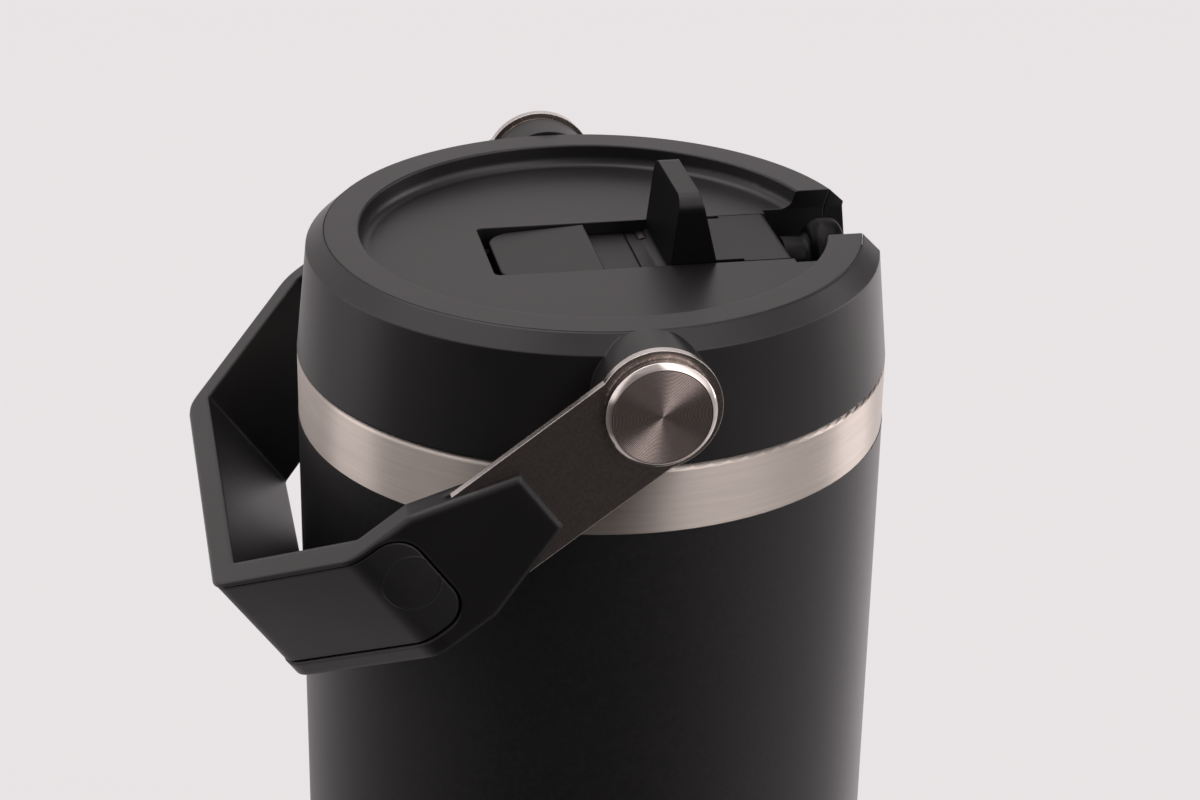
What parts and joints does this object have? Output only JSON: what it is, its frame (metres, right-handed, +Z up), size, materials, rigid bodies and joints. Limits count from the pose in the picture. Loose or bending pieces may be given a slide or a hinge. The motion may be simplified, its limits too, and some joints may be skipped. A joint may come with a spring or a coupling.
{
  "type": "insulated tumbler",
  "caption": "Double-walled steel tumbler with a screwed lid, a straw under a flip spout with a finger tab, and a swing handle on side buttons.",
  "frame": {"origin": "middle of the foot pad's underside, on the vessel's axis", "axes": "+Z up along the vessel's axis, +X towards the mouthpiece, the handle turns about a line along Y and hangs on the -X side"},
  "size_m": [0.1099, 0.108, 0.2153],
  "materials": {
    "coated_steel": "black powder coat, satin",
    "brushed_steel": "turned, fine lines round the axis",
    "lid_plastic": "black, fine matte",
    "inner_plastic": "black, moulded",
    "silicone": "black silicone",
    "clear_plastic": "translucent, smooth",
    "nylon": "natural nylon",
    "brass": "plain",
    "dark_steel": "satin with a fine fleck, polished edges",
    "spun_steel": "spun face, polished bevel",
    "grip_plastic": "black, moulded",
    "grip_rubber": "black, soft"
  },
  "bodies": {
    "vessel": {"outer_shell": "coated_steel", "inner_liner": "brushed_steel", "shell_base": "brushed_steel", "vacuum_seal": "brushed_steel", "getter": "brushed_steel", "base_pad": "silicone"},
    "gasket": {"lid_gasket": "silicone"},
    "lid": {"lid_shell": "lid_plastic", "lid_top": "lid_plastic", "lid_base": "inner_plastic", "slot_insert": "lid_plastic", "spout_seal": "silicone", "vent_valve": "silicone", "straw": "clear_plastic", "spout_pins": "brushed_steel", "pivot_button_left": "spun_steel", "pivot_button_right": "spun_steel", "pivot_washer_left": "brushed_steel", "pivot_washer_right": "brushed_steel", "pivot_bush_left": "nylon", "pivot_bush_right": "nylon", "pivot_insert_left": "brass", "pivot_insert_right": "brass"},
    "spout": {"spout_lever": "lid_plastic", "mouthpiece": "silicone"},
    "handle": {"handle_strap": "dark_steel", "grip_core": "grip_plastic", "grip_pad": "grip_rubber"}
  },
  "joints": [
    {"name": "lid_lift", "type": "slide", "parent": "vessel", "child": "gasket", "axis": [0, 0, 1], "range_m": [0, 0.19]},
    {"name": "lid_turn", "type": "hinge", "parent": "gasket", "child": "lid", "pos_m": [0, 0, 0.19], "axis": [0, 0, 1], "range_deg": [0, 450]},
    {"name": "spout_flip", "type": "hinge", "parent": "lid", "child": "spout", "pos_m": [0.0096, 0, 0.201], "axis": [0, -1, 0], "range_deg": [0, 78]},
    {"name": "handle_swing", "type": "hinge", "parent": "lid", "child": "handle", "pos_m": [0, 0, 0.1997], "axis": [0, 1, 0], "range_deg": [0, 252.8]}
  ]
}
